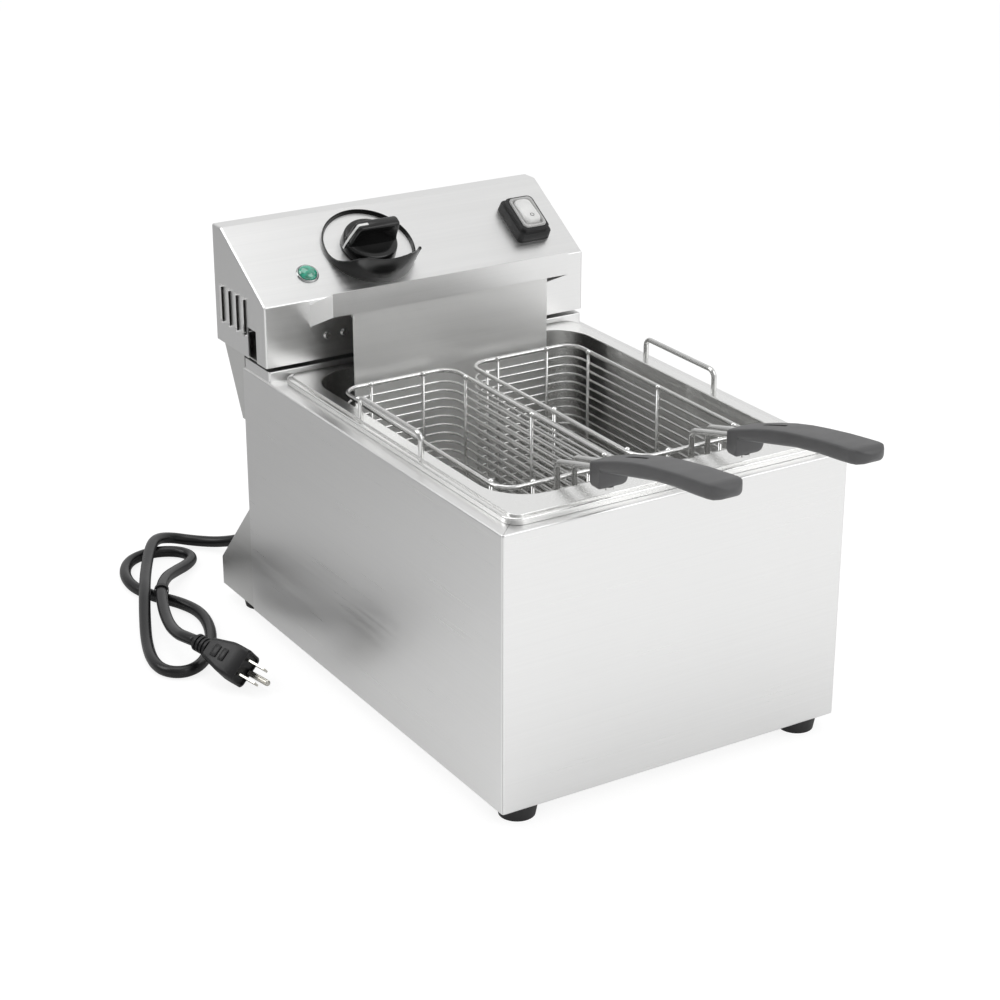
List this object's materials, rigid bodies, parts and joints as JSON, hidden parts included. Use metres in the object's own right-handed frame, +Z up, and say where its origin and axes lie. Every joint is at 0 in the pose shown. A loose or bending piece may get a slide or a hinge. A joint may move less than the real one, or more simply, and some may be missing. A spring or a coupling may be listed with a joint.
{
  "type": "deep fryer",
  "caption": "Countertop electric deep fryer: steel casing, lift-out oil tank, lift-off control head with knob and rocker, wire baskets with arched handles, mains lead with plug.",
  "frame": {"origin": "centre of the fryer's footprint on the worktop, midway between the handles' tips and the back of the wall bracket", "axes": "+Z up, +X to the user's right, +Y to the back"},
  "size_m": [0.3938, 0.6858, 0.3253],
  "materials": {
    "casing_steel": "brushed stainless sheet, fine level grain",
    "head_steel": "brushed stainless sheet",
    "plate_steel": "brushed stainless plate",
    "bracket_steel": "plain stainless sheet",
    "inner_steel": "plain stainless or galvanised sheet",
    "tank_steel": "deep-drawn stainless, satin inside and polished rim",
    "wire_steel": "bright nickel-plated wire",
    "element_steel": "dull heat-darkened sheath",
    "screw_steel": "plated screws",
    "lamp_chrome": "bright ring",
    "brass": "brass flange",
    "rubber": "black rubber, matte",
    "cord_rubber": "black flexible jacket, soft sheen",
    "plug_rubber": "moulded black, fine texture",
    "plug_metal": "nickel-plated blades",
    "handle_plastic": "dark grey heat-proof plastic, fine texture",
    "black_gloss": "glossy black phenolic",
    "black_moulding": "black moulding",
    "white_moulding": "white heat-proof moulding",
    "wire_insulation": "glass-braid sleeving",
    "clear_rocker": "pale translucent rocker",
    "green_lens": "green domed lens"
  },
  "bodies": {
    "casing": {"casing_front": "casing_steel", "casing_wrap": "casing_steel", "base_plate": "inner_steel", "rear_deck": "casing_steel", "head_rests": "inner_steel", "rear_bracket": "bracket_steel", "feet": "rubber", "foot_screws": "screw_steel", "power_cord": "cord_rubber", "cord_tie": "black_moulding", "plug_body": "plug_rubber", "plug_blades": "plug_metal", "plug_ground_pin": "plug_metal"},
    "tank": {"oil_tank": "tank_steel", "tank_handle_left": "wire_steel", "tank_handle_right": "wire_steel"},
    "head": {"head_cover": "head_steel", "side_louvers": "head_steel", "head_floor": "inner_steel", "head_back": "inner_steel", "back_screws": "screw_steel", "head_hanger": "bracket_steel", "basket_rail": "head_steel", "guard_plate": "plate_steel", "wall_screws": "screw_steel", "heating_element": "element_steel", "element_flange": "brass", "control_sensor": "wire_steel", "limit_sensor": "wire_steel", "sensor_clips": "inner_steel", "knob_bezel": "black_gloss", "thermostat_body": "inner_steel", "limit_thermostat": "black_moulding", "reset_cap": "black_moulding", "terminal_block": "white_moulding", "head_wiring": "wire_insulation", "lamp_ring": "lamp_chrome", "lamp_lens": "green_lens", "lamp_body": "white_moulding", "switch_boot": "rubber", "switch_body": "black_moulding", "cord_gland": "black_moulding"},
    "knob": {"knob": "black_gloss", "thermostat_shaft": "screw_steel"},
    "rocker": {"switch_rocker": "clear_rocker"},
    "basket_left": {"basket_left_mesh": "wire_steel", "basket_left_rim": "wire_steel", "basket_left_bracket": "wire_steel", "basket_left_handle": "handle_plastic", "basket_left_screw": "screw_steel"},
    "basket_right": {"basket_right_mesh": "wire_steel", "basket_right_rim": "wire_steel", "basket_right_bracket": "wire_steel", "basket_right_handle": "handle_plastic", "basket_right_screw": "screw_steel"}
  },
  "joints": [
    {"name": "head_lift", "type": "slide", "parent": "casing", "child": "head", "axis": [0, 0, 1], "range_m": [0, 0.32]},
    {"name": "tank_lift", "type": "slide", "parent": "casing", "child": "tank", "axis": [0, 0, 1], "range_m": [0, 0.16]},
    {"name": "basket_left_lift", "type": "slide", "parent": "head", "child": "basket_left", "axis": [0, 0, 1], "range_m": [0, 0.13]},
    {"name": "basket_right_lift", "type": "slide", "parent": "head", "child": "basket_right", "axis": [0, 0, 1], "range_m": [0, 0.13]},
    {"name": "knob_turn", "type": "hinge", "parent": "head", "child": "knob", "pos_m": [-0.034, 0.21812, 0.29926], "axis": [0, -0.53, 0.848], "range_deg": [-270, 0]},
    {"name": "rocker_tip", "type": "hinge", "parent": "head", "child": "rocker", "pos_m": [0.107, 0.21282, 0.30302], "axis": [1, 0, 0], "range_deg": [0, 16]}
  ],
  "couplings": [
    {"joint": "tank_lift", "follows": "head_lift", "ratio": 0.5}
  ]
}
